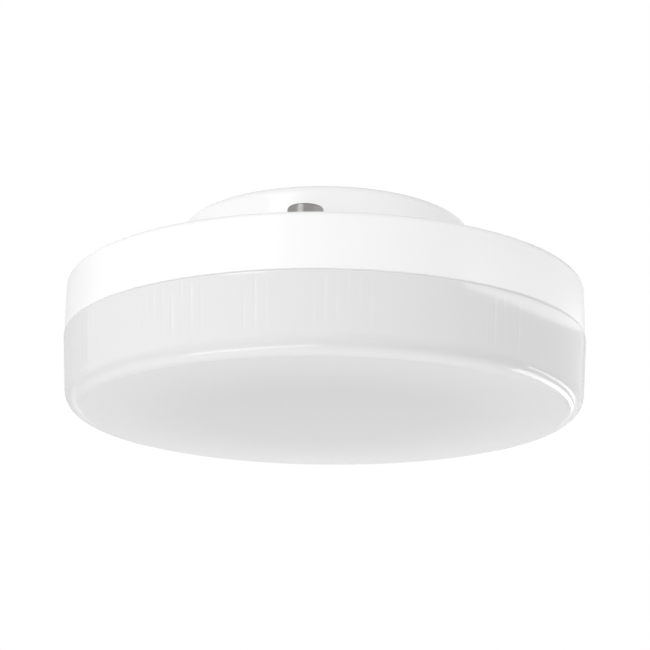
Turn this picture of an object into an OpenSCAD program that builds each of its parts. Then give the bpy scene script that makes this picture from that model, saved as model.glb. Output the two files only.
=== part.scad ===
// Disc lamp with a two-pin twist cap. An opal diffuser with a fluted wall snaps
// into a white moulded housing, which carries the contact pins, the driver in
// its hub and the light board on an aluminium plate.
// The light face lies on z = 0 and the cap points up.

/* [Outline] */
// Outer diameter of the diffuser
disc_d = 75; // [73:0.5:84]
// Height of the diffuser, light face to seam
diffuser_h = 10.5; // [9.6:0.1:13]
// Height of the housing band, seam to shoulder
band_h = 7.8; // [7:0.1:10]
// Height of the hub above the shoulder
hub_h = 9.6; // [9:0.1:14]
// How far the housing band stands inside the diffuser wall
band_step = 0.1; // [0.05:0.05:0.3]
// Rounding of the two edges that meet at the seam
seam_r = 0.2; // [0.1:0.05:0.4]

/* [Housing] */
// Gap between the hub's side and the middle of a pin
hub_pin_gap = 5.35; // [4.4:0.05:6]
// Rounding of the hub's top edge
hub_edge_r = 1.5; // [0.6:0.1:2]
// Rounding of the rim round the shoulder
rim_r = 0.8; // [0.4:0.05:1.2]
// Wall of the outer band
band_wall = 1.8; // [1.4:0.1:2.4]
// Thickness of the shoulder
shoulder_t = 1.8; // [1.4:0.1:2.2]
// Wall of the hub
hub_wall = 1.6; // [1.2:0.1:2.2]
// Thickness of the hub's top
hub_top_t = 1.8; // [1.4:0.1:2.4]
// Number of screw bosses under the shoulder
boss_count = 3; // [3:3:3]
// Outer diameter of a screw boss
boss_d = 5.2; // [4.4:0.1:6]
// Width of the moulded ribs
rib_w = 1.4; // [1:0.1:2]
// Number of ribs that press on the driver board
rib_count = 4; // [4:4:4]
// Number of ribs that centre the plate
centring_count = 6; // [3:3:12]

/* [Diffuser] */
// Thickness of the light face
face_t = 1.5; // [1:0.1:2.2]
// Thickness of the side wall
wall_t = 1.4; // [1:0.1:2]
// How far the side wall narrows from the seam down to the light face
wall_draft = 0.5; // [0.2:0.05:0.7]
// Radius from the side wall to the light face
edge_r = 2.6; // [2:0.1:3.4]
// Number of flutes round the inside of the wall
flute_count = 160; // [120:8:200]
// Depth of a flute
flute_depth = 0.3; // [0.15:0.05:0.5]
// Thickness of the snap skirt
skirt_t = 0.9; // [0.7:0.1:1.1]
// Height of the snap skirt above the seam
skirt_h = 3.4; // [3:0.1:3.8]
// Gap between skirt and band
skirt_gap = 0.1; // [0.05:0.05:0.2]
// Radius of the snap bead
bead_r = 0.4; // [0.3:0.05:0.5]
// Number of snap beads
bead_count = 6; // [4:2:8]
// Length of a snap bead round the skirt, in degrees
bead_arc = 16; // [10:1:24]

/* [Contact pins] */
// Distance between the two pins
pin_spacing = 53; // [52:0.5:54]
// Turn of the pin line from the front
pin_turn = 6; // [0:1:12]
// Diameter of a pin's head
pin_head_d = 4.8; // [4.4:0.1:5.2]
// Thickness of a pin's head
pin_head_t = 1.6; // [1.3:0.1:2]
// Height of a pin above the shoulder
pin_rise = 4.2; // [3.8:0.1:4.8]
// Rounding of the head's top edge
pin_edge_r = 0.45; // [0.2:0.05:0.6]
// Radius of the dome on the head
pin_dome_r = 12; // [8:0.5:20]
// Diameter of a pin's neck
pin_neck_d = 3; // [2.6:0.1:3.4]
// Diameter of the collar on the shoulder
pin_collar_d = 4.1; // [3.6:0.1:4.6]
// Thickness of the collar
pin_collar_t = 0.5; // [0.3:0.1:0.8]
// Diameter of the shank in its boss
pin_shank_d = 2.5; // [2.2:0.1:2.8]
// Outer diameter of the boss round a shank
pin_boss_d = 6.8; // [6:0.1:7.6]
// Room round that boss
pin_room = 0.5; // [0.3:0.1:0.8]
// Diameter of the swaged end
pin_swage_d = 3.8; // [3.4:0.1:4.2]
// Thickness of the swaged end
pin_swage_t = 0.4; // [0.3:0.05:0.5]
// Diameter of the tail that takes the wire
pin_tail_d = 1.6; // [1.2:0.1:2]

/* [Light board] */
// Gap between the light board and the plate's rim, seen from above
board_gap = 1.6; // [1:0.1:2.2]
// Thickness of the light board
board_t = 1; // [0.8:0.1:1.2]
// Height of the board's lit side below the seam
board_drop = 0.2; // [0:0.1:0.6]
// Number of rings of light chips
led_rings = 3; // [3:1:3]
// Radius of the innermost ring
led_first_r = 8; // [7.5:0.5:8.5]
// Distance of the outermost ring from the board's edge
led_inset = 4.5; // [4:0.1:5]
// Length of a light chip
led_l = 3.5; // [3:0.1:3.8]
// Width of a light chip
led_w = 2.8; // [2.4:0.1:3.2]
// Thickness of a light chip
led_t = 0.7; // [0.5:0.05:1]
// Rim round a chip's window
led_rim = 0.45; // [0.3:0.05:0.6]
// Depth of a chip's window
led_window = 0.15; // [0.1:0.05:0.25]
// Distance of the thermal pad's edge from the board's edge
pad_inset = 1; // [0.6:0.1:1.4]
// Thickness of the thermal pad
pad_t = 0.2; // [0.15:0.05:0.4]
// Thickness of the aluminium plate
plate_t = 1.2; // [1:0.1:1.5]
// Gap between the plate's rim and the skirt
plate_gap = 0.3; // [0.2:0.05:0.5]
// Bend radius between the plate and its rim
plate_bend_r = 1; // [0.6:0.1:1.2]
// Thickness of the insulating film
film_t = 0.2; // [0.15:0.05:0.4]

/* [Screws] */
// Distance of the screws from the light board's edge
screw_inset = 2.6; // [2.3:0.1:3]
// Diameter of the thread
screw_d = 2.2; // [2:0.1:2.4]
// Length of thread in a boss
screw_bite = 3.6; // [3:0.1:4]
// Diameter of the head
screw_head_d = 4; // [3.6:0.1:4.2]
// Thickness of the head
screw_head_t = 1.3; // [1:0.1:1.6]
// Radius of the dome on the head
screw_dome_r = 2.4; // [2.2:0.1:3]
// Width of a slot in the cross recess
recess_w = 0.5; // [0.4:0.05:0.6]
// Length of a slot in the cross recess
recess_l = 2.2; // [1.8:0.1:2.6]
// Depth of the cross recess
recess_h = 0.7; // [0.5:0.1:0.8]

/* [Driver] */
// Thickness of the driver board
driver_t = 1.2; // [1:0.1:1.6]
// Height of the driver board's underside below the shoulder
driver_drop = 1.4; // [1:0.1:1.6]
// Gap between driver board and hub wall
driver_gap = 0.35; // [0.2:0.05:0.5]
// Diameter of the input capacitor
cap_in_d = 6.3; // [5:0.1:7]
// Length of the input capacitor
cap_in_l = 12; // [10:0.5:13]
// Diameter of the output capacitor
cap_out_d = 5; // [4:0.1:6]
// Length of the output capacitor
cap_out_l = 11; // [9:0.5:12]
// Rounding of a can's edges
can_edge_r = 0.4; // [0.2:0.05:0.6]
// Radius of the crimp round a can
can_crimp_r = 0.35; // [0.2:0.05:0.5]
// Distance of the crimp from the sealed end
can_crimp_at = 1.6; // [1.2:0.1:2]
// Spacing of a capacitor's leads
cap_pitch = 2.5; // [2:0.1:2.8]
// Diameter of the choke
choke_d = 8; // [7:0.1:8.6]
// Height of the choke
choke_h = 6; // [5:0.1:7]
// Thickness of the choke's flanges
flange_t = 1; // [0.8:0.1:1.2]
// Diameter of the choke's post
choke_post_d = 4; // [3:0.1:4.6]
// Number of turns seen on the winding
turn_count = 8; // [6:1:10]
// Length of the film capacitor
film_cap_l = 7.2; // [6:0.1:7.8]
// Width of the film capacitor
film_cap_w = 2.5; // [2:0.1:3]
// Height of the film capacitor
film_cap_h = 6; // [5:0.1:7]
// Spacing of the film capacitor's leads
film_cap_pitch = 5; // [4:0.1:5.4]
// Diameter of the fusible resistor
fuse_d = 2.3; // [2:0.1:2.8]
// Length of the fusible resistor
fuse_l = 6.3; // [5.6:0.1:6.8]
// Length of a resistor's end bulge
fuse_bulge_l = 1.3; // [1:0.1:1.6]
// Depth of a resistor's waist
fuse_waist = 0.15; // [0.1:0.05:0.25]
// Length of the bridge rectifier
bridge_l = 4.7; // [4:0.1:5.2]
// Width of the bridge rectifier
bridge_w = 3.9; // [3.4:0.1:4.2]
// Height of the bridge rectifier
bridge_h = 2.5; // [2:0.1:3]
// Spacing of the rectifier's legs
bridge_pitch = 2.5; // [2:0.1:2.7]
// Length of the driver chip
chip_l = 4.9; // [4.4:0.1:5.2]
// Width of the driver chip
chip_w = 3.9; // [3.4:0.1:4.2]
// Height of the driver chip
chip_h = 1.6; // [1.3:0.1:2]
// Spacing of the driver chip's legs
chip_pitch = 1.27; // [1:0.01:1.4]
// Width of a leg
leg_w = 0.4; // [0.3:0.05:0.5]
// Thickness of a leg
leg_t = 0.2; // [0.15:0.05:0.25]
// Length of a leg's foot
leg_foot = 0.9; // [0.7:0.1:1.1]
// Gap under a legged part
leg_lift = 0.15; // [0.1:0.05:0.25]
// Gap between neighbours on the board
part_gap = 1.8; // [1.4:0.1:2]
// Bare margin outside the tall parts
part_margin = 4.6; // [4.2:0.1:5]
// Length of a chip resistor
resistor_l = 2; // [1.6:0.1:2.2]
// Width of a chip resistor
resistor_w = 1.25; // [1:0.05:1.4]
// Spacing of the chip resistors
resistor_pitch = 3; // [2.6:0.1:3.2]
// Height of a chip resistor
resistor_h = 0.55; // [0.4:0.05:0.7]

/* [Wires and solder] */
// Diameter of an insulated wire
wire_d = 1.2; // [1:0.05:1.3]
// Room under a mains wire
wire_lift = 0.3; // [0.2:0.05:0.5]
// Distance of the mains wires from the driver board's edge
wire_inset = 2.2; // [1.8:0.1:2.6]
// Diameter of a bare lead or conductor
lead_d = 0.6; // [0.5:0.05:0.7]
// Bend radius of a wire
wire_bend_r = 1.2; // [1:0.1:1.4]
// Bend radius of a lead
lead_bend_r = 0.7; // [0.5:0.1:0.9]
// Straight run of a lead before its bend
lead_run = 0.5; // [0.3:0.1:0.8]
// Room round a lead in its hole
hole_gap = 0.1; // [0.05:0.05:0.2]
// Room round a wire where it passes the plate
wire_gap = 0.3; // [0.2:0.05:0.4]
// Diameter of a solder joint at the board
solder_d = 1.8; // [1.4:0.1:2]
// Height of a solder joint
solder_h = 0.8; // [0.5:0.1:0.9]

/* [Hidden] */

// Facets of the large rounds and of the small ones.
big_fn = 160;
small_fn = 40;
// Overlap of two shapes that are joined, and overrun of a cut.
lap = 0.2;
over = 1;
// Fit of the swaged shanks and of the screw threads.
tight = 0.03;

// Outline.
disc_r = disc_d / 2;
seam_z = diffuser_h;
shoulder_z = seam_z + band_h;
lamp_h = shoulder_z + hub_h;
pin_r = pin_spacing / 2;
band_r = disc_r - band_step;
band_in_r = band_r - band_wall;
hub_r = pin_r - hub_pin_gap;
hub_in_r = hub_r - hub_wall;
shoulder_under = shoulder_z - shoulder_t;
ceiling_z = lamp_h - hub_top_t;

// Diffuser.
wall_in_r = disc_r - wall_t;
wall_end_z = seam_z - 2 * seam_r;
skirt_r = band_in_r - skirt_gap;
skirt_in_r = skirt_r - skirt_t;
skirt_top = seam_z + skirt_h;
skirt_lead = skirt_t / 3;
bead_z = seam_z + skirt_h * 0.65;
step_z = seam_z - 0.5;
step_drop = wall_in_r - skirt_in_r;
flute_low = edge_r + 0.3;
flute_high = step_z - step_drop - 0.2;
flute_slope = wall_draft / (wall_end_z - edge_r);
flute_low_r = wall_in_r - flute_slope * (wall_end_z - flute_low);
flute_high_r = wall_in_r - flute_slope * (wall_end_z - flute_high);

// Stack of plates, upwards from the lit side of the light board.
board_z = seam_z - board_drop;
board_top = board_z + board_t;
plate_z = board_top + pad_t;
plate_top = plate_z + plate_t;
film_top = plate_top + film_t;
plate_r = skirt_in_r - plate_gap;
plate_in_r = plate_r - plate_t;
film_r = plate_in_r - plate_bend_r;
board_r = plate_in_r - board_gap;
pad_r = board_r - pad_inset;
led_ring_step = (board_r - led_inset - led_first_r) / (led_rings - 1);

// Screws and their bosses lie midway between chips of the outer ring.
screw_turn = 54;
screw_place_r = board_r - screw_inset;
screw_tip_z = plate_top + screw_bite;
screw_angles = [for (i = [0 : boss_count - 1]) screw_turn + i * 360 / boss_count];
screw_places = [for (a = screw_angles) screw_place_r * [cos(a), sin(a)]];
ring_turn = 4;

// Contact pins, each with its boss just above the wire.
swage_room = 0.1;
front_angle = 270 - pin_turn;
rear_angle = front_angle - 180;
wire_z = film_top + wire_lift + wire_d / 2;
pin_tail_z = wire_z - wire_d / 2;
pin_boss_z = wire_z + wire_d / 2 + swage_room + pin_swage_t;

// Driver board and the places of what stands on it.
driver_z = shoulder_z - driver_drop;
driver_top = driver_z + driver_t;
driver_r = hub_in_r - driver_gap;
clip_grip = 1;
clip_h = 0.9;
press_angles = [for (i = [0 : rib_count - 1]) 45 + i * 360 / rib_count];
clip_angles = [for (a = press_angles) a - 22.5];
lead_reach = lead_run + lead_bend_r;
cap_in_at = [0, driver_r - part_margin - cap_in_d / 2];
cap_out_at = [0, cap_out_d / 2 + part_margin - driver_r];
chip_at = [-1.4, -2];
choke_at = [chip_at.x - chip_l / 2 - part_gap - choke_d / 2, 0];
fuse_at = [chip_at.x + chip_l / 2 + part_gap + fuse_d / 2, 1.4];
film_cap_at = [fuse_at.x + fuse_d / 2 + part_gap + film_cap_l / 2, -4.2];
bridge_at = [
    fuse_at.x + fuse_d / 2 + part_gap + bridge_l / 2,
    film_cap_at.y + film_cap_w / 2 + part_gap + leg_foot + bridge_w / 2
];
row_step = chip_w / 2 + leg_foot + part_gap + resistor_w / 2;
resistor_rows = [for (s = [-1, 1]) chip_at + [0, s * row_step]];
light_wire_r = led_first_r + led_ring_step / 2;
light_wire_angles = [137, 150];
mains_wire_r = driver_r - wire_inset;

cap_in_leads = [for (s = [-1, 1])
    cap_in_at + [-cap_in_l / 2 - lead_reach, s * cap_pitch / 2]];
cap_out_leads = [for (s = [-1, 1])
    cap_out_at + [cap_out_l / 2 + lead_reach, s * cap_pitch / 2]];
choke_lead_r = choke_d / 2 - lead_d;
choke_leads = [for (s = [-1, 1]) choke_at + [0, s * choke_lead_r]];
film_cap_leads = [for (s = [-1, 1]) film_cap_at + [s * film_cap_pitch / 2, 0]];
fuse_leads = [for (s = [-1, 1]) fuse_at + [0, s * (fuse_l / 2 + lead_reach)]];
part_leads = concat(cap_in_leads, cap_out_leads, choke_leads, film_cap_leads, fuse_leads);
mains_places = [for (a = [front_angle, rear_angle]) mains_wire_r * [cos(a), sin(a)]];
light_wire_places = [for (a = light_wire_angles) light_wire_r * [cos(a), sin(a)]];
wire_places = concat(mains_places, light_wire_places);

// What has to be cut off a right-angled corner at the origin, with the
// material on its lower left, to round it.
module corner_cut(r) {
    difference() {
        translate([-r, -r]) square(r + over);
        translate([-r, -r]) circle(r, $fn = big_fn);
    }
}

module at_places(places) {
    for (p = places) translate([p.x, p.y, 0]) children();
}

module upright(d, low, high) {
    translate([0, 0, low]) cylinder(h = high - low, d = d, $fn = small_fn);
}

module housing_profile() {
    difference() {
        union() {
            translate([band_in_r, seam_z])
                square([band_wall, shoulder_z - seam_z]);
            translate([hub_in_r, shoulder_under])
                square([band_r - hub_in_r, shoulder_t]);
            translate([hub_in_r, shoulder_under])
                square([hub_wall, lamp_h - shoulder_under]);
            translate([0, ceiling_z])
                square([hub_r, hub_top_t]);
        }
        translate([band_r, shoulder_z]) corner_cut(rim_r);
        translate([hub_r, lamp_h]) corner_cut(hub_edge_r);
        translate([band_r, seam_z]) mirror([0, 1]) corner_cut(seam_r);
        translate([band_in_r, bead_z]) circle(bead_r + skirt_gap, $fn = small_fn);
    }
}

// A clip's section: a ramp outside and a flat seat for the board's edge.
module clip_section() {
    polygon([
        [hub_in_r + lap, driver_z - clip_h],
        [hub_in_r - lap, driver_z - clip_h],
        [driver_r - clip_grip, driver_z - clip_h / 3],
        [driver_r - clip_grip, driver_z],
        [hub_in_r + lap, driver_z]
    ]);
}

module housing_inner_work() {
    for (a = screw_angles)
        rotate([0, 0, a]) translate([screw_place_r, 0, 0])
            upright(boss_d, plate_top, shoulder_under + lap);
    for (a = [front_angle, rear_angle])
        rotate([0, 0, a]) translate([pin_r, 0, 0])
            upright(pin_boss_d, pin_boss_z, shoulder_under + lap);
    for (i = [0 : centring_count - 1])
        rotate([0, 0, i * 360 / centring_count])
            translate([plate_r, -rib_w / 2, skirt_top + skirt_gap])
                cube([band_in_r - plate_r + lap, rib_w, shoulder_under + lap - skirt_top - skirt_gap]);
    for (a = press_angles)
        rotate([0, 0, a]) translate([driver_r - clip_grip, -rib_w / 2, driver_top])
            cube([hub_in_r + lap - driver_r + clip_grip, rib_w, ceiling_z + lap - driver_top]);
    for (a = clip_angles)
        rotate([0, 0, a]) rotate_extrude(angle = 12, $fn = big_fn) clip_section();
}

module base_housing() {
    color("white")
    difference() {
        union() {
            rotate_extrude($fn = big_fn) housing_profile();
            housing_inner_work();
        }
        for (a = screw_angles)
            rotate([0, 0, a]) translate([screw_place_r, 0, 0])
                upright(screw_d + 2 * tight, plate_top - over, screw_tip_z + lap);
        for (a = [front_angle, rear_angle])
            rotate([0, 0, a]) translate([pin_r, 0, 0])
                upright(pin_shank_d + 2 * tight, pin_boss_z - over, shoulder_z + over);
    }
}

// Half section of a dish whose side narrows from top_r to low_r and runs
// into the flat bottom along a tangent arc.
module dish_profile(top_r, low_r, low_z, edge) {
    centre = [low_r - edge, low_z + edge];
    slope = [top_r, wall_end_z] - centre;
    turn = atan2(slope.y, slope.x) - acos(edge / norm(slope));
    translate([0, low_z]) square([centre.x, seam_z - low_z]);
    translate(centre) circle(edge, $fn = big_fn);
    polygon([
        centre,
        centre + edge * [cos(turn), sin(turn)],
        [top_r, wall_end_z],
        [top_r, seam_z],
        [centre.x, seam_z]
    ]);
}

module diffuser_profile() {
    difference() {
        union() {
            dish_profile(disc_r, disc_r - wall_draft, 0, edge_r);
            translate([skirt_in_r, step_z]) square([skirt_t, skirt_top - step_z]);
        }
        translate([disc_r, seam_z]) corner_cut(seam_r);
        difference() {
            union() {
                dish_profile(wall_in_r, wall_in_r - wall_draft, face_t, edge_r - wall_t);
                translate([0, seam_z - lap]) square([wall_in_r, skirt_h]);
            }
            polygon([
                [skirt_in_r, step_z],
                [wall_in_r + lap, step_z - step_drop - lap],
                [wall_in_r + lap, seam_z],
                [skirt_in_r + skirt_t, seam_z],
                [skirt_in_r + skirt_t, skirt_top + over],
                [skirt_in_r, skirt_top + over]
            ]);
        }
        polygon([
            [skirt_r + over, skirt_top + over],
            [skirt_r - skirt_lead, skirt_top + over],
            [skirt_r - skirt_lead, skirt_top],
            [skirt_r + over, skirt_top - skirt_lead - over]
        ]);
    }
}

// Prism with one ridge for each flute, which reaches through the inner face
// and widens with it.
module flute_prism() {
    step = 360 / flute_count;
    points = [for (i = [0 : flute_count - 1], s = [0, 1])
        let (r = flute_low_r + (s == 0 ? -flute_depth / 2 : flute_depth))
        r * [cos((i + s / 2) * step), sin((i + s / 2) * step)]];
    translate([0, 0, flute_low])
        linear_extrude(flute_high - flute_low, scale = flute_high_r / flute_low_r) polygon(points);
}

module snap_beads() {
    for (i = [0 : bead_count - 1])
        rotate([0, 0, (i + 0.5) * 360 / bead_count - bead_arc / 2])
            rotate_extrude(angle = bead_arc, $fn = big_fn)
                translate([skirt_r, bead_z]) circle(bead_r, $fn = small_fn);
}

module diffuser() {
    color("ivory") {
        difference() {
            rotate_extrude($fn = big_fn) diffuser_profile();
            flute_prism();
        }
        intersection() {
            snap_beads();
            translate([0, 0, seam_z]) cylinder(h = skirt_h, r = band_r);
        }
    }
}

module pin_profile() {
    head_top = shoulder_z + pin_rise;
    difference() {
        intersection() {
            translate([0, head_top - pin_head_t]) square([pin_head_d / 2, pin_head_t]);
            translate([0, head_top - pin_dome_r]) circle(pin_dome_r, $fn = big_fn);
        }
        translate([pin_head_d / 2, head_top]) corner_cut(pin_edge_r);
    }
    translate([0, shoulder_z])
        square([pin_neck_d / 2, pin_rise - pin_head_t + lap]);
    translate([0, shoulder_z])
        square([pin_collar_d / 2, pin_collar_t]);
    translate([0, pin_boss_z - lap])
        square([pin_shank_d / 2, shoulder_z + lap - pin_boss_z + lap]);
    translate([0, pin_boss_z - pin_swage_t])
        square([pin_swage_d / 2, pin_swage_t]);
    translate([0, pin_tail_z])
        square([pin_tail_d / 2, pin_boss_z - pin_tail_z]);
}

module contact_pin(angle) {
    color("silver") rotate([0, 0, angle]) translate([pin_r, 0, 0])
        rotate_extrude($fn = small_fn * 2) pin_profile();
}

module contact_pin_front() {
    contact_pin(front_angle);
}

module contact_pin_rear() {
    contact_pin(rear_angle);
}

module light_board() {
    color("whitesmoke") difference() {
        translate([0, 0, board_z]) cylinder(h = board_t, r = board_r, $fn = big_fn);
        at_places(screw_places) upright(screw_d + 2 * hole_gap, board_z - over, board_top + over);
        at_places(light_wire_places)
            upright(lead_d + 2 * hole_gap, board_z - over, board_top + over);
    }
}

module light_chip() {
    translate([-led_w / 2, -led_l / 2, board_z - led_t]) difference() {
        cube([led_w, led_l, led_t]);
        translate([led_rim, led_rim, -over])
            cube([led_w - 2 * led_rim, led_l - 2 * led_rim, led_window + over]);
    }
}

module light_chips() {
    color("gold")
    for (k = [0 : led_rings - 1], i = [0 : 6 * (k + 1) - 1])
        rotate([0, 0, ring_turn + i * 60 / (k + 1)])
            translate([led_first_r + k * led_ring_step, 0, 0]) light_chip();
}

module thermal_pad() {
    color("lightgrey") difference() {
        translate([0, 0, board_top]) cylinder(h = pad_t, r = pad_r, $fn = big_fn);
        at_places(screw_places) upright(screw_d + 2 * wire_gap, board_top - over, plate_z + over);
        at_places(light_wire_places)
            upright(wire_d + 2 * wire_gap, board_top - over, plate_z + over);
    }
}

module heat_plate_profile() {
    difference() {
        translate([0, plate_z]) square([plate_r, shoulder_under - plate_z]);
        translate([plate_r, plate_z]) mirror([0, 1]) corner_cut(plate_bend_r + plate_t / 2);
        difference() {
            translate([-over, plate_top]) square([plate_in_r + over, shoulder_under]);
            translate([plate_in_r, plate_top]) mirror([0, 1]) corner_cut(plate_bend_r);
        }
    }
}

module heat_plate() {
    color("darkgrey") difference() {
        rotate_extrude($fn = big_fn) heat_plate_profile();
        at_places(screw_places) upright(screw_d + 2 * hole_gap, plate_z - over, plate_top + over);
        at_places(light_wire_places)
            upright(wire_d + 2 * wire_gap, plate_z - over, plate_top + over);
        for (a = [front_angle, rear_angle])
            rotate([0, 0, a]) translate([pin_r, 0, 0])
                upright(pin_boss_d + 2 * pin_room, plate_top, shoulder_under + over);
    }
}

module insulating_film() {
    color("khaki") difference() {
        translate([0, 0, plate_top]) cylinder(h = film_t, r = film_r, $fn = big_fn);
        at_places(screw_places) upright(boss_d + 2 * wire_gap, plate_top - over, film_top + over);
        at_places(light_wire_places)
            upright(wire_d + 2 * wire_gap, plate_top - over, film_top + over);
    }
}

module board_screw() {
    upright(screw_d, board_z - lap, screw_tip_z);
    difference() {
        rotate_extrude($fn = small_fn) intersection() {
            translate([0, board_z - screw_head_t]) square([screw_head_d / 2, screw_head_t]);
            translate([0, board_z - screw_head_t + screw_dome_r])
                circle(screw_dome_r, $fn = big_fn);
        }
        for (a = [0, 90])
            rotate([0, 0, a])
                translate([-recess_l / 2, -recess_w / 2, board_z - screw_head_t - over])
                    cube([recess_l, recess_w, recess_h + over]);
    }
}

module board_screws() {
    color("silver") at_places(screw_places) board_screw();
}

module driver_board() {
    color("darkgreen") difference() {
        translate([0, 0, driver_z]) cylinder(h = driver_t, r = driver_r, $fn = big_fn);
        at_places(concat(part_leads, wire_places))
            upright(lead_d + 2 * hole_gap, driver_z - over, driver_top + over);
    }
}

// Flat moulded package with legs that step down to the board on both sides.
module legged_package(size, legs, pitch) {
    translate([-size.x / 2, -size.y / 2, leg_lift]) cube([size.x, size.y, size.z - leg_lift]);
    for (s = [-1, 1], i = [0 : legs - 1])
        translate([(i - (legs - 1) / 2) * pitch - leg_w / 2, 0, 0]) {
            translate([0, s * (size.y / 2 + leg_foot / 2) - leg_foot / 2, 0])
                cube([leg_w, leg_foot, leg_t]);
            translate([0, s * (size.y / 2 + leg_t / 2) - leg_t / 2 - lap / 4, 0])
                cube([leg_w, leg_t + lap / 2, size.z / 2]);
        }
}

module bridge_rectifier() {
    color("dimgrey") translate([bridge_at.x, bridge_at.y, driver_top])
        legged_package([bridge_l, bridge_w, bridge_h], 2, bridge_pitch);
}

module driver_chip() {
    color("dimgrey") translate([chip_at.x, chip_at.y, driver_top])
        legged_package([chip_l, chip_w, chip_h], 4, chip_pitch);
}

// Lead that leaves a part at the origin along +X, bends down and ends at a depth.
module bent_lead(depth) {
    translate([-lap, 0, 0]) rotate([0, 90, 0])
        cylinder(h = lead_run + lap, d = lead_d, $fn = small_fn);
    translate([lead_run, 0, -lead_bend_r]) rotate([90, 0, 0])
        rotate_extrude(angle = 90, $fn = small_fn)
            translate([lead_bend_r, 0]) circle(lead_d / 2, $fn = small_fn);
    translate([lead_reach, 0, -depth])
        cylinder(h = depth - lead_bend_r, d = lead_d, $fn = small_fn);
}

// Can with its axis along +X, its seal and leads at the far end.
module lying_capacitor(d, l) {
    depth = driver_t + d / 2;
    translate([0, 0, driver_top + d / 2]) {
        rotate([0, 90, 0]) translate([0, 0, -l / 2]) rotate_extrude($fn = small_fn * 2)
            difference() {
                square([d / 2, l]);
                translate([d / 2, l]) corner_cut(can_edge_r);
                translate([d / 2, 0]) mirror([0, 1]) corner_cut(can_edge_r);
                translate([d / 2, l - can_crimp_at]) circle(can_crimp_r, $fn = small_fn);
            }
        for (s = [-1, 1])
            translate([l / 2, s * cap_pitch / 2, 0]) bent_lead(depth);
    }
}

module input_capacitor() {
    color("midnightblue") translate([cap_in_at.x, cap_in_at.y, 0]) rotate([0, 0, 180])
        lying_capacitor(cap_in_d, cap_in_l);
}

module output_capacitor() {
    color("midnightblue") translate([cap_out_at.x, cap_out_at.y, 0])
        lying_capacitor(cap_out_d, cap_out_l);
}

module choke_core() {
    color("dimgrey") translate([choke_at.x, choke_at.y, driver_top]) difference() {
        rotate_extrude($fn = small_fn * 2) {
            square([choke_d / 2, flange_t]);
            square([choke_post_d / 2, choke_h]);
            translate([0, choke_h - flange_t]) square([choke_d / 2, flange_t]);
        }
        for (s = [-1, 1])
            translate([0, s * choke_lead_r, 0])
                upright(lead_d + 2 * hole_gap, -over, flange_t + over / 2);
    }
}

module choke_winding() {
    room = choke_h - 2 * flange_t;
    turn_r = room / turn_count / 2;
    wound_r = choke_d / 2 - lead_d / 2;
    color("peru") translate([choke_at.x, choke_at.y, driver_top]) {
        rotate_extrude($fn = small_fn * 2) {
            translate([choke_post_d / 2, flange_t])
                square([wound_r - turn_r - choke_post_d / 2, room]);
            for (i = [0 : turn_count - 1])
                translate([wound_r - turn_r, flange_t + (2 * i + 1) * turn_r])
                    circle(turn_r, $fn = small_fn);
        }
        for (s = [-1, 1])
            translate([0, s * choke_lead_r, 0]) upright(lead_d, -driver_t, flange_t + turn_r);
    }
}

module fusible_resistor() {
    axis_z = fuse_d / 2;
    color("lightblue") translate([fuse_at.x, fuse_at.y, driver_top + axis_z]) {
        rotate([90, 0, 0]) translate([0, 0, -fuse_l / 2]) rotate_extrude($fn = small_fn)
            difference() {
                square([fuse_d / 2, fuse_l]);
                translate([fuse_d / 2 - fuse_waist, fuse_bulge_l]) square([over, fuse_l - 2 * fuse_bulge_l]);
                translate([fuse_d / 2, fuse_l]) corner_cut(fuse_bulge_l / 3);
                translate([fuse_d / 2, 0]) mirror([0, 1]) corner_cut(fuse_bulge_l / 3);
            }
        for (a = [90, -90])
            rotate([0, 0, a]) translate([fuse_l / 2, 0, 0]) bent_lead(driver_t + axis_z);
    }
}

module film_capacitor() {
    color("firebrick") {
        translate([film_cap_at.x - film_cap_l / 2, film_cap_at.y - film_cap_w / 2, driver_top])
            cube([film_cap_l, film_cap_w, film_cap_h]);
        at_places(film_cap_leads) upright(lead_d, driver_z, driver_top + lap);
    }
}

module chip_resistors() {
    color("black")
    for (row = resistor_rows, i = [-1, 0, 1])
        translate([row.x + i * resistor_pitch - resistor_l / 2, row.y - resistor_w / 2, driver_top])
            cube([resistor_l, resistor_w, resistor_h]);
}

// From a pin's tail inwards along the shoulder, then up to the driver board.
module mains_wire(angle) {
    bend_x = mains_wire_r + wire_bend_r;
    rotate([0, 0, angle]) {
        difference() {
            translate([bend_x, 0, wire_z]) rotate([0, 90, 0])
                cylinder(h = pin_r - bend_x, d = wire_d, $fn = small_fn);
            translate([pin_r, 0, 0]) upright(pin_tail_d, wire_z - wire_d, wire_z + wire_d);
        }
        translate([bend_x, 0, wire_z + wire_bend_r]) rotate([90, 0, 0]) rotate([0, 0, 180])
            rotate_extrude(angle = 90, $fn = small_fn * 2)
                translate([wire_bend_r, 0]) circle(wire_d / 2, $fn = small_fn);
        translate([mains_wire_r, 0, 0]) {
            upright(wire_d, wire_z + wire_bend_r, driver_z);
            upright(lead_d, driver_z - lap, driver_top);
        }
    }
}

module live_wire() {
    color("firebrick") mains_wire(front_angle);
}

module neutral_wire() {
    color("steelblue") mains_wire(rear_angle);
}

module light_wire(place) {
    translate([place.x, place.y, 0]) {
        upright(wire_d, board_top, driver_z);
        upright(lead_d, board_z, driver_top);
    }
}

module light_wire_positive() {
    color("red") light_wire(light_wire_places[1]);
}

module light_wire_negative() {
    color("black") light_wire(light_wire_places[0]);
}

// Blob on a flat side, narrowing away from it along the given direction.
module solder_blob(z, side) {
    translate([0, 0, side > 0 ? z : z - solder_h])
        cylinder(h = solder_h, d1 = side > 0 ? solder_d : lead_d * 1.5,
                 d2 = side > 0 ? lead_d * 1.5 : solder_d, $fn = small_fn);
}

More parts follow.
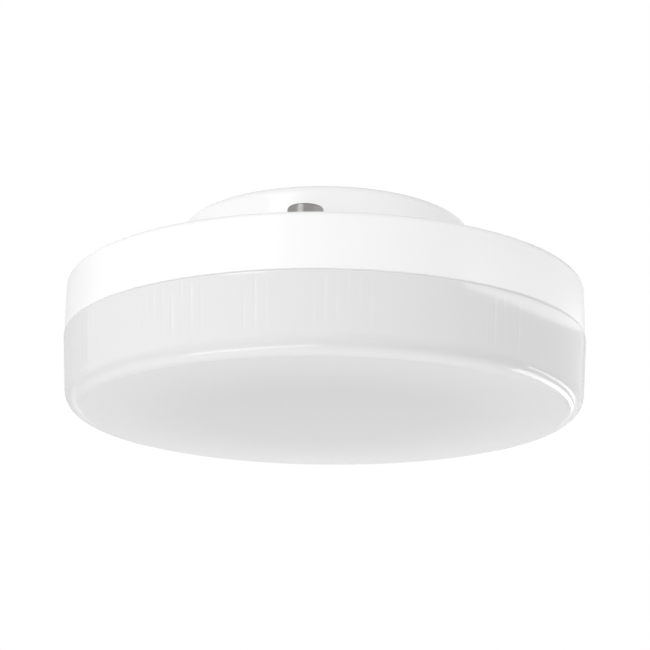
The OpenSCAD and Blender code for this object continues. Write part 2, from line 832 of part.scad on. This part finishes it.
module solder_joints() {
    color("lightgrey") {
        at_places(part_leads) solder_blob(driver_z, -1);
        at_places(wire_places) solder_blob(driver_top, 1);
        at_places(light_wire_places) solder_blob(board_z, -1);
    }
}

base_housing();
diffuser();
contact_pin_front();
contact_pin_rear();
light_board();
light_chips();
thermal_pad();
heat_plate();
insulating_film();
board_screws();
driver_board();
bridge_rectifier();
input_capacitor();
output_capacitor();
driver_chip();
choke_core();
choke_winding();
fusible_resistor();
film_capacitor();
chip_resistors();
live_wire();
neutral_wire();
light_wire_positive();
light_wire_negative();
solder_joints();
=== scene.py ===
import bpy, math
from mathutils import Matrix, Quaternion, Vector

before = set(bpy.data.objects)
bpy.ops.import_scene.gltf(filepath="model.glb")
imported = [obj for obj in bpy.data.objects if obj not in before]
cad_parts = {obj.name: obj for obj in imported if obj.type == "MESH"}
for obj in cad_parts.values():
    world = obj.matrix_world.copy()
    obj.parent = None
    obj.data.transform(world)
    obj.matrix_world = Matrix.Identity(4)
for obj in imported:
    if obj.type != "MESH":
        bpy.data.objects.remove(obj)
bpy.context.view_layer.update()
print("frame loaded:", len(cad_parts), "nodes")

mm = 0.001


def grey(level):
    return (level, level, level, 1.0)


def addObject(name, data):
    obj = bpy.data.objects.new(name, data)
    bpy.context.collection.objects.link(obj)
    return obj


def aimed(direction, turn):   # -Z along the direction, then a turn about it in degrees
    about = Quaternion((0, 0, 1), math.radians(turn))
    return (direction.to_track_quat("-Z", "Y") @ about).to_euler()


# Camera, fitted to the outline, the seam, the hub and the pin in the photograph.
cameraValues = {
    "place": (0.0, -253.87 * mm, -57.84 * mm),
    "pitch": 15.744,       # degrees above the horizon
    "roll": 0.667,         # degrees clockwise
    "focalPixels": 1813.7,
    "framePixels": 650,
    "sensor": 36.0,        # mm
    "clip": (0.01, 20.0),  # m
}


def makeCamera(v):
    data = bpy.data.cameras.new("photoCamera")
    data.sensor_width = v["sensor"]
    data.sensor_fit = "HORIZONTAL"
    data.lens = v["sensor"] * v["focalPixels"] / v["framePixels"]
    data.clip_start, data.clip_end = v["clip"]
    cam = addObject("photoCamera", data)
    cam.location = v["place"]
    pitch = math.radians(v["pitch"])
    cam.rotation_euler = aimed(Vector((0, math.cos(pitch), math.sin(pitch))), v["roll"])
    bpy.context.scene.camera = cam


makeCamera(cameraValues)
print("camera set")


# Helpers for node trees.
def feed(tree, socket, given):   # a plain value is set, and another socket is linked
    if isinstance(given, (int, float, tuple)):
        socket.default_value = given
    else:
        tree.links.new(given, socket)


def newMaterial(name):
    mat = bpy.data.materials.new(name)
    mat.use_nodes = True
    return mat, mat.node_tree, mat.node_tree.nodes["Principled BSDF"]


def objectCoords(tree):
    return tree.nodes.new("ShaderNodeTexCoord").outputs["Object"]


def mathNode(tree, how, *given):
    node = tree.nodes.new("ShaderNodeMath")
    node.operation = how
    for socket, value in zip(node.inputs, given):
        feed(tree, socket, value)
    return node.outputs[0]


def mixColour(tree, factor, a, b, how="MIX"):
    node = tree.nodes.new("ShaderNodeMix")
    node.data_type = "RGBA"
    node.blend_type = how
    for socket, value in ((node.inputs["Factor"], factor), (node.inputs[6], a), (node.inputs[7], b)):
        feed(tree, socket, value)
    return node.outputs[2]


def ramp(tree, value, span=(0.0, 1.0), to=(0.0, 1.0), smooth=False):
    node = tree.nodes.new("ShaderNodeMapRange")
    node.interpolation_type = "SMOOTHSTEP" if smooth else "LINEAR"
    labels = ("Value", "From Min", "From Max", "To Min", "To Max")
    for label, given in zip(labels, (value, *span, *to)):
        feed(tree, node.inputs[label], given)
    return node.outputs["Result"]


def noise(tree, vector, scale, detail=2.0, flat=False):
    node = tree.nodes.new("ShaderNodeTexNoise")
    node.noise_dimensions = "2D" if flat else "3D"
    for label, given in (("Vector", vector), ("Scale", scale), ("Detail", detail)):
        feed(tree, node.inputs[label], given)
    return node.outputs["Fac"]


def axesOf(tree, vector):
    node = tree.nodes.new("ShaderNodeSeparateXYZ")
    feed(tree, node.inputs[0], vector)
    return node.outputs


def flatPoint(tree, x, y):
    node = tree.nodes.new("ShaderNodeCombineXYZ")
    feed(tree, node.inputs["X"], x)
    feed(tree, node.inputs["Y"], y)
    return node.outputs[0]


def lengthOf(tree, vector):
    node = tree.nodes.new("ShaderNodeVectorMath")
    node.operation = "LENGTH"
    feed(tree, node.inputs[0], vector)
    return node.outputs["Value"]


def startGroup(name, inputs, outputs):   # inputs have their first values, outputs their kinds
    group = bpy.data.node_groups.new(name, "ShaderNodeTree")
    face = group.interface
    face.new_socket("Vector", in_out="INPUT", socket_type="NodeSocketVector")
    for label, value in inputs.items():
        kind = "NodeSocketColor" if isinstance(value, tuple) else "NodeSocketFloat"
        face.new_socket(label, in_out="INPUT", socket_type=kind).default_value = value
    for label, kind in outputs.items():
        face.new_socket(label, in_out="OUTPUT", socket_type="NodeSocket" + kind)
    return group, group.nodes.new("NodeGroupInput").outputs, group.nodes.new("NodeGroupOutput").inputs


def placeGroup(tree, group, coords, values):
    node = tree.nodes.new("ShaderNodeGroup")
    node.node_tree = group
    feed(tree, node.inputs["Vector"], coords)
    for label, value in values.items():
        feed(tree, node.inputs[label], value)
    return node.outputs


# Soft mottling and fine grain of a moulded or coated surface.
def makeSkinGroup():
    group, given, out = startGroup(
        "mouldedSkin",
        {"Base": grey(0.8), "Shade": grey(0.7), "Patch Scale": 60.0, "Grain Scale": 2500.0,
         "Rough Low": 0.25, "Rough High": 0.35},
        {"Color": "Color", "Roughness": "Float", "Height": "Float"})
    patch = noise(group, given["Vector"], given["Patch Scale"], detail=3.0)
    feed(group, out["Color"], mixColour(group, patch, given["Base"], given["Shade"]))
    feed(group, out["Roughness"], ramp(group, patch, to=(given["Rough Low"], given["Rough High"])))
    feed(group, out["Height"], noise(group, given["Vector"], given["Grain Scale"]))
    return group


# Where the streaks of the wall are strong, which is also where the painted glints catch:
# how often that changes along the wall and up it, and the part of the noise over which
# they come up. The line of painted shade follows the light one by a shift of its wave and has a share of
# its strength.
fluteChange = {
    "stretches": (4.0, 12.0, (0.47, 0.62)),
    "singleFlutes": (61.0, 130.0, (0.35, 0.70)),
    "shadeShift": 1.3,
    "shadeShare": 0.5,
}


# Vertical streaks round the lamp's axis: the fluted wall seen through opal plastic, with
# a thin line of painted glint and a thin line of painted shade to each flute, stronger in some places.
def makeFluteGroup(change):
    group, given, out = startGroup(
        "wallFlutes",
        {"Count": 160.0, "Low": 0.0, "High": 0.01, "Fade": 0.0015, "Seed": 0.0, "Sharpness": 3.0},
        {"Height": "Float", "Tone": "Float"})
    x, y, z = axesOf(group, given["Vector"])
    turn = mathNode(group, "ARCTAN2", y, x)
    phase = mathNode(group, "MULTIPLY", turn, given["Count"])

    def line(shift):
        wave = mathNode(group, "COSINE", mathNode(group, "ADD", phase, shift))
        return mathNode(group, "POWER", mathNode(group, "MAXIMUM", wave, 0.0), given["Sharpness"])

    def patchy(along, upward, span):
        spot = flatPoint(group, mathNode(group, "MULTIPLY", turn, along),
                         mathNode(group, "MULTIPLY_ADD", z, upward, given["Seed"]))
        return ramp(group, noise(group, spot, 1.0, detail=1.0, flat=True), span)

    dark = mathNode(group, "MULTIPLY", line(change["shadeShift"]), change["shadeShare"])
    lines = mathNode(group, "SUBTRACT", line(0.0), dark)
    strength = mathNode(group, "MULTIPLY", patchy(*change["stretches"]), patchy(*change["singleFlutes"]))
    lowEnd = mathNode(group, "ADD", given["Low"], given["Fade"])
    highEnd = mathNode(group, "SUBTRACT", given["High"], given["Fade"])
    above = ramp(group, z, (given["Low"], lowEnd), smooth=True)
    below = ramp(group, z, (highEnd, given["High"]), (1.0, 0.0), smooth=True)
    band = mathNode(group, "MULTIPLY", above, below)
    height = mathNode(group, "MULTIPLY", lines, mathNode(group, "MULTIPLY", band, strength))
    feed(group, out["Height"], height)
    feed(group, out["Tone"], mathNode(group, "MULTIPLY_ADD", height, 0.5, 0.5))
    return group


# Painted light and shade on the opal plastic: the face is painted lighter near the edge
# than in the middle, and the wall is painted darker again.
def makePaintedLightGroup():
    group, given, out = startGroup(
        "paintedEdgeLight",
        {"Middle": grey(0.7), "Edge": grey(0.8), "Wall": grey(0.75), "Inner": 0.02, "Outer": 0.037,
         "Wall Low": 0.001, "Wall High": 0.003},
        {"Color": "Color"})
    x, y, z = axesOf(group, given["Vector"])
    far = lengthOf(group, flatPoint(group, x, y))
    outward = ramp(group, far, (given["Inner"], given["Outer"]), smooth=True)
    upward = ramp(group, z, (given["Wall Low"], given["Wall High"]), smooth=True)
    face = mixColour(group, outward, given["Middle"], given["Edge"])
    feed(group, out["Color"], mixColour(group, upward, face, given["Wall"]))
    return group


skinGroup = makeSkinGroup()
fluteGroup = makeFluteGroup(fluteChange)
paintedLightGroup = makePaintedLightGroup()


def placeSkin(tree, coords, base, shade, v):
    return placeGroup(tree, skinGroup, coords, {
        "Base": base, "Shade": shade, "Patch Scale": v["patch"], "Grain Scale": v["grain"],
        "Rough Low": v["rough"][0], "Rough High": v["rough"][1]})


def addBump(tree, shader, height, strength, distance):
    bump = tree.nodes.new("ShaderNodeBump")
    for label, given in (("Strength", strength), ("Distance", distance), ("Height", height)):
        feed(tree, bump.inputs[label], given)
    feed(tree, shader.inputs["Normal"], bump.outputs["Normal"])


# What a finish has where its own values don't say otherwise. Patch and grain are noise
# scales, and depth is the height of the grain.
plainFinish = {"grain": 5000.0, "rough": (0.25, 0.40), "bump": 0.1, "depth": 0.02 * mm, "metal": 0.0}


def skinMaterial(name, values):
    v = {**plainFinish, **values}
    mat, tree, shader = newMaterial(name)
    skin = placeSkin(tree, objectCoords(tree), (*v["base"], 1.0), (*v["shade"], 1.0), v)
    feed(tree, shader.inputs["Base Color"], skin["Color"])
    feed(tree, shader.inputs["Roughness"], skin["Roughness"])
    addBump(tree, shader, skin["Height"], v["bump"], v["depth"])
    shader.inputs["Metallic"].default_value = v["metal"]
    return mat


housingValues = {
    "base": (0.90, 0.90, 0.90), "shade": (0.885, 0.885, 0.885), "patch": 40.0, "grain": 1800.0,
    "rough": (0.22, 0.28), "bump": 0.03,
}

# The diffuser's greys, with painted light and shade (a middle grey, a lighter painted edge
# and a darker painted wall), the radii and heights between which they change, its mottling
# and the flutes of its wall.
diffuserValues = {
    # edge is painted light and wall is painted shade, against the middle grey
    "middle": 0.80, "edge": 0.94, "wall": 0.74,
    "paintedLightFrom": 14 * mm, "paintedLightTo": 37 * mm, "wallShadeFrom": 0.0, "wallShadeTo": 1.2 * mm,
    "shadeBy": 0.985, "patch": 35.0, "grain": 1500.0, "rough": (0.05, 0.07),
    "fluteCount": 160.0, "fluteLow": 2.4 * mm, "fluteHigh": 10.4 * mm, "fluteFade": 1.5 * mm,
    "fluteSeed": 44.0, "fluteSharpness": 3.0, "fluteRibAndGlintTone": 0.93, "fluteBump": 0.5,
    "fluteDepth": 0.012 * mm,
}


def makeDiffuserMaterial(v):
    mat, tree, shader = newMaterial("opalDiffuser")
    coords = objectCoords(tree)
    skin = placeSkin(tree, coords, grey(1.0), grey(v["shadeBy"]), v)
    flutes = placeGroup(tree, fluteGroup, coords, {
        "Count": v["fluteCount"], "Low": v["fluteLow"], "High": v["fluteHigh"], "Fade": v["fluteFade"],
        "Seed": v["fluteSeed"], "Sharpness": v["fluteSharpness"]})
    # Painted light: the face lighter towards its edge; painted shade: the wall darker.
    glow = placeGroup(tree, paintedLightGroup, coords, {
        "Middle": grey(v["middle"]), "Edge": grey(v["edge"]), "Wall": grey(v["wall"]),
        "Inner": v["paintedLightFrom"], "Outer": v["paintedLightTo"], "Wall Low": v["wallShadeFrom"], "Wall High": v["wallShadeTo"]})
    # Painted into the colour: the ribs seen through the wall, with painted glints and painted shade along
    # the flutes.
    ribAndGlintStreak = mixColour(tree, flutes["Tone"], grey(v["fluteRibAndGlintTone"]), grey(2 - v["fluteRibAndGlintTone"]))
    paintedLightMottled = mixColour(tree, 1.0, glow["Color"], skin["Color"], "MULTIPLY")
    feed(tree, shader.inputs["Base Color"], mixColour(tree, 1.0, paintedLightMottled, ribAndGlintStreak, "MULTIPLY"))
    feed(tree, shader.inputs["Roughness"], skin["Roughness"])
    addBump(tree, shader, flutes["Height"], v["fluteBump"], v["fluteDepth"])
    return mat


# Finishes of the pins and of what the housing holds.
wireFinish = {"patch": 400.0, "rough": (0.4, 0.5), "bump": 0.05}
finishes = {
    "pinMetal": {"base": (0.34, 0.335, 0.33), "shade": (0.26, 0.256, 0.252), "patch": 300.0,
                 "rough": (0.25, 0.42), "bump": 0.15, "depth": 0.03 * mm, "metal": 1.0},
    "boardWhite": {"base": (0.82, 0.82, 0.80), "shade": (0.76, 0.76, 0.74), "patch": 90.0, "grain": 2500.0,
                   "rough": (0.35, 0.5), "bump": 0.05},
    "chipPhosphor": {"base": (0.80, 0.66, 0.20), "shade": (0.72, 0.56, 0.14), "patch": 900.0,
                     "grain": 6000.0, "rough": (0.4, 0.6)},
    "padGrey": {"base": (0.46, 0.46, 0.45), "shade": (0.38, 0.38, 0.37), "patch": 120.0, "grain": 3000.0,
                "rough": (0.6, 0.8), "depth": 0.03 * mm},
    "plateAluminium": {"base": (0.60, 0.61, 0.62), "shade": (0.52, 0.53, 0.54), "patch": 150.0,
                       "grain": 3500.0, "metal": 1.0},
    "filmAmber": {"base": (0.55, 0.33, 0.07), "shade": (0.47, 0.27, 0.05), "patch": 110.0, "grain": 2500.0,
                  "rough": (0.2, 0.35), "bump": 0.05},
    "screwSteel": {"base": (0.46, 0.48, 0.50), "shade": (0.36, 0.38, 0.40), "patch": 500.0, "metal": 1.0},
    "boardGreen": {"base": (0.02, 0.16, 0.055), "shade": (0.015, 0.11, 0.035), "patch": 200.0,
                   "grain": 3000.0, "depth": 0.03 * mm},
    "mouldedBlack": {"base": (0.022, 0.022, 0.024), "shade": (0.014, 0.014, 0.015), "patch": 600.0,
                     "grain": 7000.0, "rough": (0.45, 0.6), "bump": 0.2},
    "capacitorBlue": {"base": (0.02, 0.035, 0.12), "shade": (0.012, 0.02, 0.08), "patch": 300.0,
                      "grain": 4000.0, "rough": (0.18, 0.3), "bump": 0.05},
    "ferrite": {"base": (0.045, 0.045, 0.047), "shade": (0.03, 0.03, 0.03), "patch": 700.0,
                "grain": 8000.0, "rough": (0.5, 0.7), "bump": 0.3, "depth": 0.03 * mm},
    "copperWire": {"base": (0.55, 0.21, 0.07), "shade": (0.42, 0.14, 0.04), "patch": 500.0, "metal": 1.0},
    "resistorBlue": {"base": (0.17, 0.36, 0.50), "shade": (0.12, 0.28, 0.42), "patch": 400.0,
                     "rough": (0.3, 0.45)},
    "capacitorRed": {"base": (0.28, 0.03, 0.015), "shade": (0.20, 0.02, 0.01), "patch": 400.0,
                     "bump": 0.08},
    "wireRed": {**wireFinish, "base": (0.42, 0.02, 0.015), "shade": (0.34, 0.015, 0.01)},
    "wireBlue": {**wireFinish, "base": (0.03, 0.11, 0.36), "shade": (0.02, 0.08, 0.28)},
    "wireBlack": {**wireFinish, "base": (0.02, 0.02, 0.02), "shade": (0.012, 0.012, 0.012)},
    "solder": {"base": (0.60, 0.61, 0.62), "shade": (0.48, 0.49, 0.50), "patch": 700.0,
               "rough": (0.15, 0.3), "depth": 0.03 * mm, "metal": 1.0},
}
finishMaterials = {name: skinMaterial(name, v) for name, v in finishes.items()}
finishMaterials["housingWhite"] = skinMaterial("housingWhite", housingValues)
finishMaterials["opalDiffuser"] = makeDiffuserMaterial(diffuserValues)
print("materials made:", len(finishMaterials))

nodesOfFinish = {
    "housingWhite": ("base_housing",),
    "opalDiffuser": ("diffuser",),
    "pinMetal": ("contact_pin_front", "contact_pin_rear"),
    "boardWhite": ("light_board",),
    "chipPhosphor": ("light_chips",),
    "padGrey": ("thermal_pad",),
    "plateAluminium": ("heat_plate",),
    "filmAmber": ("insulating_film",),
    "screwSteel": ("board_screws",),
    "boardGreen": ("driver_board",),
    "mouldedBlack": ("bridge_rectifier", "driver_chip", "chip_resistors"),
    "capacitorBlue": ("input_capacitor", "output_capacitor"),
    "capacitorRed": ("film_capacitor",),
    "ferrite": ("choke_core",),
    "copperWire": ("choke_winding",),
    "resistorBlue": ("fusible_resistor",),
    "wireRed": ("live_wire", "light_wire_positive"),
    "wireBlue": ("neutral_wire",),
    "wireBlack": ("light_wire_negative",),
    "solder": ("solder_joints",),
}


def dressNodes():
    for finish, nodes in nodesOfFinish.items():
        for node in nodes:
            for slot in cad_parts[node].material_slots:
                slot.material = finishMaterials[finish]


dressNodes()
print("nodes dressed:", sum(len(nodes) for nodes in nodesOfFinish.values()))


# The floor lies well below the lamp, which is seen from underneath. It runs out into
# the white background between two distances from its middle, one pair for the camera
# and one for mirrors. The grey ceiling, which only mirrors show, comes up between two
# heights of the direction looked in.
stageValues = {
    "floorDrop": 300 * mm, "floorHalf": 4.0, "floorColour": 0.93, "floorShadeBy": 0.98, "floorPatch": 3.0,
    "floorRough": 0.9, "whiteSeen": (0.22, 0.70), "whiteMirrored": (1.09, 1.85),
    "worldStrength": 1.09, "tilt": (0.08, 0.10, 0.62), "overhead": (0.48, 0.82), "overheadLevel": 0.48,
}


def addMesh(name, points, faces, mat):
    mesh = bpy.data.meshes.new(name)
    mesh.from_pydata(points, [], faces)
    mesh.materials.append(mat)
    return addObject(name, mesh)


def rayKinds(tree):   # 1 for what the camera sees, and 1 for what mirrors or glass show
    path = tree.nodes.new("ShaderNodeLightPath").outputs
    mirror = mathNode(tree, "MAXIMUM", path["Is Glossy Ray"], path["Is Transmission Ray"])
    return path["Is Camera Ray"], mirror


def makeFloor(v):
    mat, tree, shader = newMaterial("paleFloor")
    coords = objectCoords(tree)
    patch = noise(tree, coords, v["floorPatch"])
    colours = grey(v["floorColour"]), grey(v["floorColour"] * v["floorShadeBy"])
    feed(tree, shader.inputs["Base Color"], mixColour(tree, patch, *colours))
    shader.inputs["Roughness"].default_value = v["floorRough"]
    camera, mirror = rayKinds(tree)
    far = lengthOf(tree, coords)
    seen = mathNode(tree, "MULTIPLY", camera, ramp(tree, far, v["whiteSeen"], smooth=True))
    mirrored = mathNode(tree, "MULTIPLY", mirror, ramp(tree, far, v["whiteMirrored"], smooth=True))
    white = tree.nodes.new("ShaderNodeEmission")
    blend = tree.nodes.new("ShaderNodeMixShader")
    parts = (mathNode(tree, "MAXIMUM", seen, mirrored), shader.outputs[0], white.outputs[0])
    for socket, given in zip(blend.inputs, parts):
        feed(tree, socket, given)
    feed(tree, tree.nodes["Material Output"].inputs["Surface"], blend.outputs[0])
    h, low = v["floorHalf"], -v["floorDrop"]
    floor = addMesh("floor", [(-h, -h, low), (h, -h, low), (h, h, low), (-h, h, low)], [(0, 1, 2, 3)], mat)


def makeWorld(v):
    world = bpy.data.worlds.new("studio")
    bpy.context.scene.world = world
    world.use_nodes = True
    tree = world.node_tree
    x, y, z = axesOf(tree, tree.nodes.new("ShaderNodeTexCoord").outputs["Generated"])
    # The light is dimmer overhead, behind and on the right.
    lit = 1.0
    for along, tilt in zip((x, y, mathNode(tree, "MAXIMUM", z, 0.0)), v["tilt"]):
        lit = mathNode(tree, "MULTIPLY_ADD", along, -tilt, lit)
    lit = mathNode(tree, "MULTIPLY", lit, v["worldStrength"])
    # The camera sees white, and mirrors see white with a grey ceiling.
    camera, mirror = rayKinds(tree)
    ceiling = ramp(tree, z, v["overhead"], (1.0, v["overheadLevel"]), smooth=True)
    shown = mathNode(tree, "MAXIMUM", camera, ceiling)
    back = tree.nodes["Background"]
    back.inputs["Color"].default_value = grey(1.0)
    looking = mathNode(tree, "MAXIMUM", camera, mirror)
    feed(tree, back.inputs["Strength"], ramp(tree, looking, to=(lit, shown)))


makeFloor(stageValues)
makeWorld(stageValues)

# Studio lamps: place, aim and size in mm, turn about the aim in degrees, and
# brightness, where 1 is white.
lampValues = {
    "keyLeft": {"place": (-345, -525, 330), "aim": (0, 0, 12), "size": (240, 300), "turn": 0, "glow": 2.8},
    "fillLeft": {"place": (-380, -500, -15), "aim": (0, 0, 10), "size": (420, 280), "turn": 0, "glow": 1.9,
                 "mirrored": False},
    "tubeBelow": {"place": (-47, -52, -120), "aim": (-10, -30, 0), "size": (114, 26), "turn": -20,
                  "glow": 2.3},
    "stripInner": {"place": (190, 330, -120), "aim": (190, 330, 0), "size": (54, 580), "turn": 8,
                   "glow": 2.6},
    "stripOuter": {"place": (335, 330, -120), "aim": (335, 330, 0), "size": (96, 580), "turn": 5,
                   "glow": 2.5},
}


def makeLamps(lamps):
    for name, v in lamps.items():
        data = bpy.data.lights.new(name, "AREA")
        data.shape = "RECTANGLE"
        data.size, data.size_y = v["size"][0] * mm, v["size"][1] * mm
        data.energy = v["glow"] * math.pi * data.size * data.size_y
        lamp = addObject(name, data)
        lamp.location = Vector(v["place"]) * mm
        lamp.rotation_euler = aimed(Vector(v["aim"]) * mm - lamp.location, v["turn"])
        lamp.visible_camera = False
        lamp.visible_glossy = v.get("mirrored", True)


makeLamps(lampValues)

# Soft box round the right side. Its lower edge shows as the slanting boundary under
# the seam: its height at the near end, how much it rises, and between which bearings.
# Bearings are in degrees from the front and lengths in mm. Each row has its height
# above that edge, and its brightness at the near and the far end.
softBoxValues = {
    "radius": 142, "from": 52, "to": 138, "steps": 28,
    "edge": 30.2, "rise": 11.0, "riseFrom": 59, "riseTo": 131,
    "rows": ((0, (4.4, 1.2)), (8, (4.4, 1.2)), (11, (2.2, 0.7)), (22, (2.2, 0.7))),
}

# Pale grey cards outside the picture at both sides of the background. Mirrored at the
# lamp's edges, they set it off from the white.
cardValues = {
    "left": {"radius": 420, "from": -170, "to": -118, "steps": 12, "rows": (-60, 230), "colour": 0.8,
             "rough": 0.9},
    "right": {"radius": 420, "from": 150, "to": 170, "steps": 12, "rows": (-60, 230), "colour": 0.8,
              "rough": 0.9},
}


def addBentSheet(name, v, heightsAt, mat):   # a sheet round the lamp's axis, hidden from the camera
    points, faces = [], []
    for i in range(v["steps"] + 1):
        bearing = v["from"] + i / v["steps"] * (v["to"] - v["from"])
        turn = math.radians(bearing)
        heights = heightsAt(bearing)
        rows = len(heights)
        for j, height in enumerate(heights):
            x, y = v["radius"] * math.sin(turn), -v["radius"] * math.cos(turn)
            points.append((x * mm, y * mm, height * mm))
            if i and j:
                k = i * rows + j
                faces.append((k - rows - 1, k - 1, k, k - rows))
    sheet = addMesh(name, points, faces, mat)
    sheet.visible_camera = False
    return sheet


def makeSoftBox(v):
    def heightsAt(bearing):
        rise = max(0, (bearing - v["riseFrom"]) / (v["riseTo"] - v["riseFrom"]))
        return [v["edge"] + v["rise"] * rise ** 2 + above for above, _ in v["rows"]]

    mat, tree, shader = newMaterial("softBoxLight")
    shader.inputs["Emission Color"].default_value = grey(1.0)
    shader.inputs["Base Color"].default_value = grey(0.0)
    strength = tree.nodes.new("ShaderNodeAttribute")
    strength.attribute_name = "glow"
    feed(tree, shader.inputs["Emission Strength"], strength.outputs["Fac"])
    box = addBentSheet("softBox", v, heightsAt, mat)
    glows = [near + i / v["steps"] * (far - near) for i in range(v["steps"] + 1)
             for _, (near, far) in v["rows"]]
    box.data.attributes.new("glow", "FLOAT", "POINT").data.foreach_set("value", glows)
    box.visible_shadow = False


def makeCards(cards):
    for name, v in cards.items():
        mat, _, shader = newMaterial(name + "CardGrey")
        shader.inputs["Base Color"].default_value = grey(v["colour"])
        shader.inputs["Roughness"].default_value = v["rough"]
        addBentSheet(name + "Card", v, lambda bearing: v["rows"], mat)


makeSoftBox(softBoxValues)
makeCards(cardValues)
bpy.context.scene.view_settings.view_transform = "Standard"
print("stage and lamps set")
